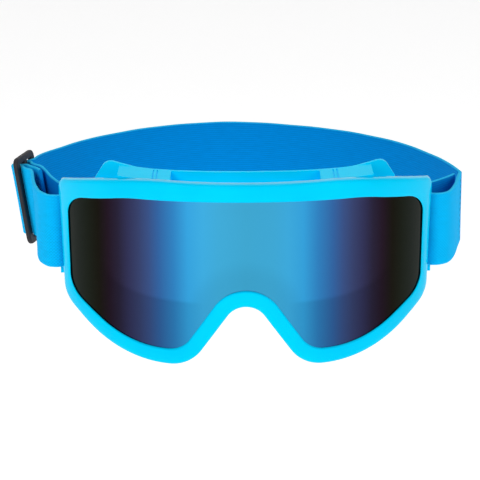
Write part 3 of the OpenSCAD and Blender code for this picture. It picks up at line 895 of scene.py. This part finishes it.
class GOGGLES_OT_stitching(Piece, bpy.types.Operator):
    """Rows of stitches that close the loop and the sewn end"""

    bl_idname = "goggles.stitching"
    bl_label = "Stitching"

    def execute(self, context):
        """Each stitch is a short capsule: circles along it whose radius is the root of one less its height squared
        at the ends, standing on the face of the webbing."""
        t, ring = np.linspace(-1, 1, 9), np.linspace(0, math.tau, 8, endpoint=False)
        girth = np.sqrt(np.clip(1 - np.abs(t) ** 6, 0.01, 1))
        capsule = np.stack([0.28 * girth[:, None] * np.cos(ring), 0.2 + 0.22 * girth[:, None] * np.sin(ring),
                            1.0 * t[:, None] * np.ones(8)], axis=-1)
        for name, nodes, body, spots in (
            ("loop_stitching", "left_loop_stitching", "strap", self.loop_spots()),
            ("end_stitching", "sewn_end_stitching", "slider", self.end_spots()),
        ):
            made = [outward(grid_mesh(f"{name}_{k}", to_row(centre + capsule @ axes), close_v=True, caps=True))
                    for k, (centre, axes) in enumerate(spots)]
            with context.temp_override(active_object=made[0], selected_editable_objects=made, object=made[0]):
                bpy.ops.object.join()
            made[0].name = name
            dress(made[0], thread_finish(), body, nodes, slot="thread")
        return {"FINISHED"}

    @staticmethod
    def stitch_height(k):
        """Height in mm of stitch k of a row above the middle of the webbing."""
        return STITCHED_WIDTH * (k + 0.35) / STITCHES - STITCHED_WIDTH / 2

    def loop_spots(self):
        """Middle and axes of each stitch that closes the left loop: two rows, 2 and 5 mm in front of its end."""
        corner, ahead = np.array(strap_at(108.4, 107)[:2]), np.array(strap_at(106.4, 95.5)[:2])
        t = (ahead - corner) / np.linalg.norm(ahead - corner)
        n = np.array([t[1], -t[0]])
        n = n if n[0] > 0 else -n
        axes = np.array([[t[0], t[1], 0], [n[0], n[1], 0], [0, 0, 1]])
        return [(np.array([*(corner + t * d + n * 0.7), STRAP_Z + self.stitch_height(k)]), axes)
                for d in (2, 5) for k in range(STITCHES)]

    def end_spots(self):
        """Middle and axes of each stitch of the sewn end: two rows, 4 and 7 mm from the tip, in the adjuster's
        own directions: back along the strap, out of it and up along its lean."""
        tilt = math.radians(SLIDER_LEAN)
        near, tip = np.array(TAIL)
        t2 = (near - tip) / np.linalg.norm(near - tip)
        out3 = np.array([OUT[0] * math.cos(tilt), OUT[1] * math.cos(tilt), -math.sin(tilt)])
        up3 = np.array([OUT[0] * math.sin(tilt), OUT[1] * math.sin(tilt), math.cos(tilt)])
        back3 = np.array([BACK[0], BACK[1], 0])
        along, face = t2[0] * back3 + t2[1] * out3, -t2[1] * back3 + t2[0] * out3
        axes = np.array([along, face, up3])
        centre = np.array([SLIDER_MID[0], SLIDER_MID[1], STRAP_Z])
        return [(centre + back3 * (tip[0] + t2[0] * d) + out3 * (tip[1] + t2[1] * d) + face * 0.7
                 + up3 * self.stitch_height(k), axes) for d in (4, 7) for k in range(STITCHES)]


class GOGGLES_OT_adjuster(Piece, bpy.types.Operator):
    """Sliding adjuster with three bars"""

    bl_idname = "goggles.adjuster"
    bl_label = "Adjuster"

    def execute(self, context):
        """The CAD node keeps its shape: it gets its finish and rounded edges."""
        soften_edges(paint(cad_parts["slider"], adjuster_finish()), 0.75, 3)
        return {"FINISHED"}


class GOGGLES_OT_stage(Piece, bpy.types.Operator):
    """Pale floor, soft studio light and the camera"""

    bl_idname = "goggles.stage"
    bl_label = "Stage"

    def execute(self, context):
        """The floor is level as far as 1.5 m behind and then curves up: its height there is 0.35 times the square of
        the distance past that line."""
        scene = context.scene
        low = float(CAD_BOX[0][2]) - scene.goggles_sizes.floor_drop
        across = np.linspace(-6, 6, 61)
        x, y = np.meshgrid(across, across, indexing="ij")
        z = low + 0.35 * np.square(np.maximum(y - 1.5, 0))
        floor = grid_mesh("floor", np.stack([x, y, z], axis=-1))
        floor.data.materials.append(floor_finish())

        world = bpy.data.worlds.new("studio")
        world.use_nodes = True
        sky = world.node_tree.nodes["Background"]
        sky.inputs["Color"].default_value = (1, 1, 1, 1)
        sky.inputs["Strength"].default_value = 0.46
        scene.world = world

        for name, place, aim, size, power in (
            ("key_softbox", (-0.55, -0.9, 0.6), (0, -0.06, 0), (0.5, 0.5), 4.6),
            ("fill_softbox", (0.8, -0.75, 0.5), (0, -0.06, 0), (0.6, 0.6), 3),
            ("back_softbox", (0.1, 0.45, 1.2), (0, 0.05, 0), (0.7, 0.7), 1.6),
        ):
            light = bpy.data.lights.new(name, "AREA")
            light.shape, light.energy = "RECTANGLE", power
            light.size, light.size_y = size
            lamp = bpy.data.objects.new(name, light)
            context.collection.objects.link(lamp)
            lamp.location = place
            lamp.rotation_mode = "QUATERNION"
            lamp.rotation_quaternion = (Vector(aim) - Vector(place)).to_track_quat("-Z", "Y")

        eye = bpy.data.cameras.new("camera")
        eye.lens, eye.sensor_width = 163.5, 36.0
        camera = bpy.data.objects.new("camera", eye)
        context.collection.objects.link(camera)
        above, distance, roll = math.radians(15), 1.0, math.radians(-0.3)
        way = Vector((0, math.cos(above), -math.sin(above)))
        camera.location = Vector(to_row([-2.66, 0, 0])) - way * distance
        camera.rotation_mode = "QUATERNION"
        camera.rotation_quaternion = way.to_track_quat("-Z", "Y") @ Quaternion((0, 0, 1), roll)
        eye.clip_start, eye.clip_end = 0.01, 50
        scene.camera = camera
        scene.view_settings.view_transform = "Standard"
        return {"FINISHED"}


PIECES = (GOGGLES_OT_stage, GOGGLES_OT_rim, GOGGLES_OT_lens, GOGGLES_OT_face_frame, GOGGLES_OT_pads,
          GOGGLES_OT_strap, GOGGLES_OT_stitching, GOGGLES_OT_adjuster)


class GOGGLES_PT_pieces(bpy.types.Panel):
    """Buttons for every piece, with the sizes and colours they use"""

    bl_idname = "GOGGLES_PT_pieces"
    bl_label = "Ski goggles"
    bl_space_type = "VIEW_3D"
    bl_region_type = "UI"
    bl_category = "Goggles"

    def draw(self, context):
        """The colours and the sizes, then a button for each operator."""
        for group in (context.scene.goggles_look, context.scene.goggles_sizes):
            box = self.layout.box()
            for name in group.__annotations__:
                box.prop(group, name)
        for piece in PIECES:
            self.layout.operator(piece.bl_idname)


CLASSES = (GogglesLook, GogglesSizes, *PIECES, GOGGLES_PT_pieces)


def register():
    """Adds the classes and the scene's settings."""
    for c in CLASSES:
        bpy.utils.register_class(c)
    bpy.types.Scene.goggles_look = bpy.props.PointerProperty(type=GogglesLook)
    bpy.types.Scene.goggles_sizes = bpy.props.PointerProperty(type=GogglesSizes)


def unregister():
    """Takes the settings and the classes away again."""
    del bpy.types.Scene.goggles_sizes
    del bpy.types.Scene.goggles_look
    for c in reversed(CLASSES):
        bpy.utils.unregister_class(c)


def main():
    """Makes every piece in order."""
    register()
    for piece in PIECES:
        group, name = piece.bl_idname.split(".")
        getattr(getattr(bpy.ops, group), name)()


if __name__ == "__main__":
    main()
